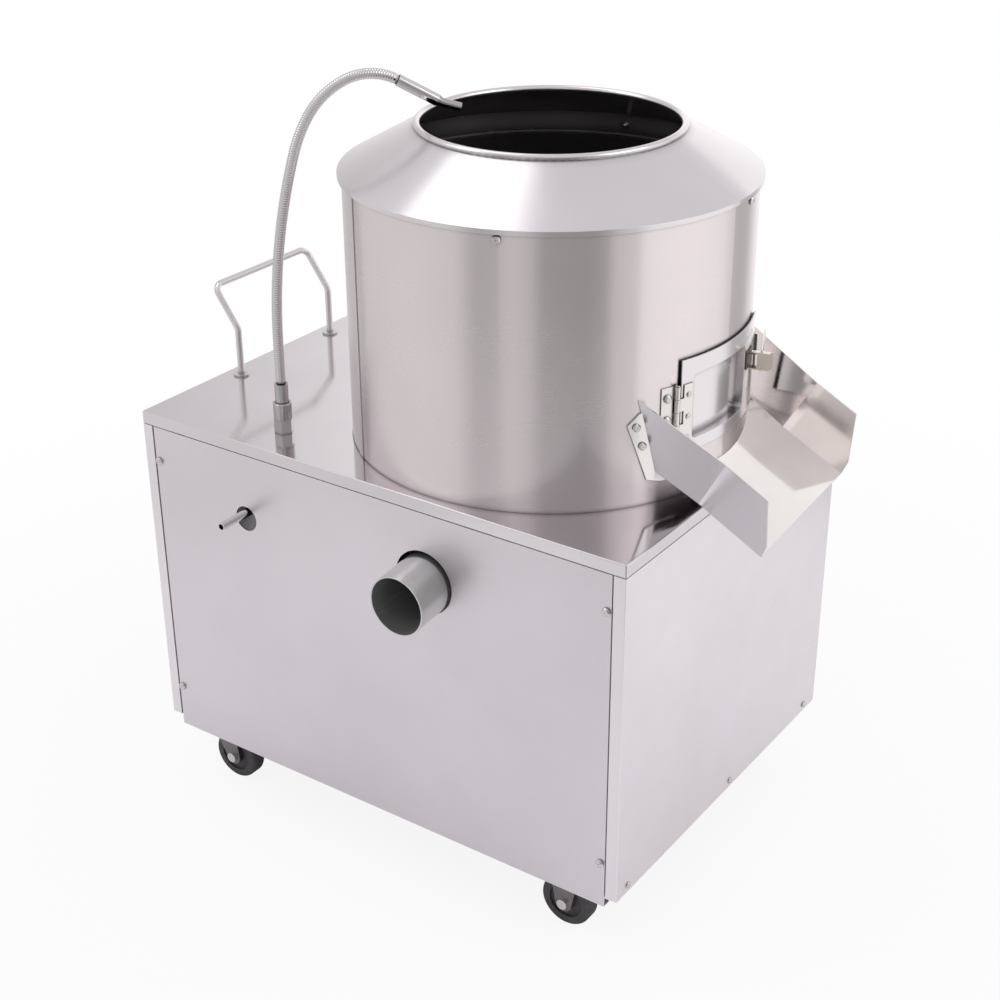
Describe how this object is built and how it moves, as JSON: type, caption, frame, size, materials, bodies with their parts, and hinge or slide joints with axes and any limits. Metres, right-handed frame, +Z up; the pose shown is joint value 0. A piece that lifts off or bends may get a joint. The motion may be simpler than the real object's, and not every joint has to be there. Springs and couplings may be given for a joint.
{
  "type": "potato peeling machine",
  "caption": "Sheet steel potato peeler on casters: upright drum with hood, hinged discharge door and chute, abrasive disc on a belt-driven shaft, swivelling water spray neck",
  "frame": {"origin": "on the floor under the middle of the whole machine", "axes": "+Z up; -Y is the front, where the water inlet and the drain come out; +X is to the right, towards the discharge chute"},
  "size_m": [0.7691, 0.559, 0.9277],
  "materials": {
    "sheet": "satin stainless sheet",
    "polished": "polished stainless",
    "hinge_steel": "plain stainless",
    "fastener": "bright zinc",
    "frame_steel": "grey painted steel",
    "lining": "grit set in dark rubber",
    "cast": "as cast",
    "machined": "turned",
    "rubber": "matte black",
    "wheel": "moulded dark grey",
    "motor_paint": "blue grey enamel",
    "switch": "moulded grey",
    "green": "moulded green",
    "red": "moulded red"
  },
  "bodies": {
    "cabinet": {"front_panel": "sheet", "rear_panel": "sheet", "left_panel": "sheet", "right_panel": "sheet", "drum_shell": "sheet", "hood": "sheet", "drain_pipe": "sheet", "top_plate": "polished", "chute": "polished", "push_handle": "polished", "gooseneck_base": "polished", "gooseneck_collar": "polished", "water_pipe": "polished", "hinge_drum_leaf": "hinge_steel", "hinge_pin": "hinge_steel", "latch_keeper": "hinge_steel", "fixed_forks": "hinge_steel", "swivel_plates": "hinge_steel", "panel_fasteners": "fastener", "drum_screws": "fastener", "machine_bolts": "fastener", "fixed_axles": "fastener", "frame": "frame_steel", "motor_plate": "frame_steel", "drum_lining": "lining", "bearing_housing": "cast", "shaft_bearings": "machined", "shaft_seal": "rubber", "v_belt": "rubber", "motor": "motor_paint", "switch_plate": "switch", "cable_gland": "switch"},
    "door": {"door": "sheet", "door_gasket": "rubber", "hinge_door_leaf": "hinge_steel", "door_screws": "fastener", "latch_base": "hinge_steel"},
    "latch_lever": {"latch_lever": "polished"},
    "latch_bail": {"latch_bail": "hinge_steel"},
    "spindle": {"main_shaft": "machined", "driven_pulley": "cast", "disc_carrier": "cast", "abrasive_disc": "lining", "disc_cap": "polished"},
    "motor_rotor": {"motor_shaft": "machined", "motor_pulley": "cast"},
    "gooseneck": {"gooseneck_ferrule": "polished", "gooseneck_hose": "polished", "nozzle_sleeve": "polished", "nozzle_tip": "polished"},
    "swivel_front": {"swivel_fork_front": "hinge_steel", "swivel_axle_front": "fastener"},
    "swivel_rear": {"swivel_fork_rear": "hinge_steel", "swivel_axle_rear": "fastener"},
    "swivel_wheel_front": {"swivel_wheel_front": "wheel"},
    "swivel_wheel_rear": {"swivel_wheel_rear": "wheel"},
    "fixed_wheel_front": {"fixed_wheel_front": "wheel"},
    "fixed_wheel_rear": {"fixed_wheel_rear": "wheel"},
    "start_button": {"start_button": "green"},
    "stop_button": {"stop_button": "red"}
  },
  "joints": [
    {"name": "door_hinge", "type": "hinge", "parent": "cabinet", "child": "door", "pos_m": [0.26573, -0.07637, 0.6055], "axis": [0, 0, -1], "range_deg": [0, 80]},
    {"name": "latch_lever_pivot", "type": "hinge", "parent": "door", "child": "latch_lever", "pos_m": [0.28216, 0.06186, 0.6285], "axis": [0, 0, 1], "range_deg": [-85, 20]},
    {"name": "bail_pivot", "type": "hinge", "parent": "latch_lever", "child": "latch_bail", "pos_m": [0.28994, 0.06371, 0.6285], "axis": [0, 0, 1], "range_deg": [-20, 85]},
    {"name": "disc_spin", "type": "hinge", "parent": "cabinet", "child": "spindle", "pos_m": [0.05191, 0.007, 0.513], "axis": [0, 0, 1], "continuous": true},
    {"name": "motor_spin", "type": "hinge", "parent": "cabinet", "child": "motor_rotor", "pos_m": [-0.18809, 0.007, 0.333], "axis": [0, 0, 1], "continuous": true},
    {"name": "neck_swivel", "type": "hinge", "parent": "cabinet", "child": "gooseneck", "pos_m": [-0.18989, -0.1792, 0.543], "axis": [0, 0, 1], "range_deg": [-150, 150]},
    {"name": "swivel_front_turn", "type": "hinge", "parent": "cabinet", "child": "swivel_front", "pos_m": [-0.31009, -0.1905, 0.08], "axis": [0, 0, 1], "continuous": true},
    {"name": "swivel_wheel_front_roll", "type": "hinge", "parent": "swivel_front", "child": "swivel_wheel_front", "pos_m": [-0.29309, -0.1905, 0.0325], "axis": [0, 1, 0], "continuous": true},
    {"name": "fixed_wheel_front_roll", "type": "hinge", "parent": "cabinet", "child": "fixed_wheel_front", "pos_m": [0.21691, -0.1905, 0.0325], "axis": [0, 1, 0], "continuous": true},
    {"name": "swivel_rear_turn", "type": "hinge", "parent": "cabinet", "child": "swivel_rear", "pos_m": [-0.31009, 0.2195, 0.08], "axis": [0, 0, 1], "continuous": true},
    {"name": "swivel_wheel_rear_roll", "type": "hinge", "parent": "swivel_rear", "child": "swivel_wheel_rear", "pos_m": [-0.29309, 0.2195, 0.0325], "axis": [0, 1, 0], "continuous": true},
    {"name": "fixed_wheel_rear_roll", "type": "hinge", "parent": "cabinet", "child": "fixed_wheel_rear", "pos_m": [0.21691, 0.2195, 0.0325], "axis": [0, 1, 0], "continuous": true},
    {"name": "start_button_push", "type": "slide", "parent": "cabinet", "child": "start_button", "axis": [1, 0, 0], "range_m": [0, 0.004], "stiffness_N_per_m": 400},
    {"name": "stop_button_push", "type": "slide", "parent": "cabinet", "child": "stop_button", "axis": [1, 0, 0], "range_m": [0, 0.004], "stiffness_N_per_m": 400}
  ],
  "couplings": [
    {"joint": "bail_pivot", "follows": "latch_lever_pivot", "ratio": -1},
    {"joint": "motor_spin", "follows": "disc_spin", "ratio": 3.8409}
  ]
}
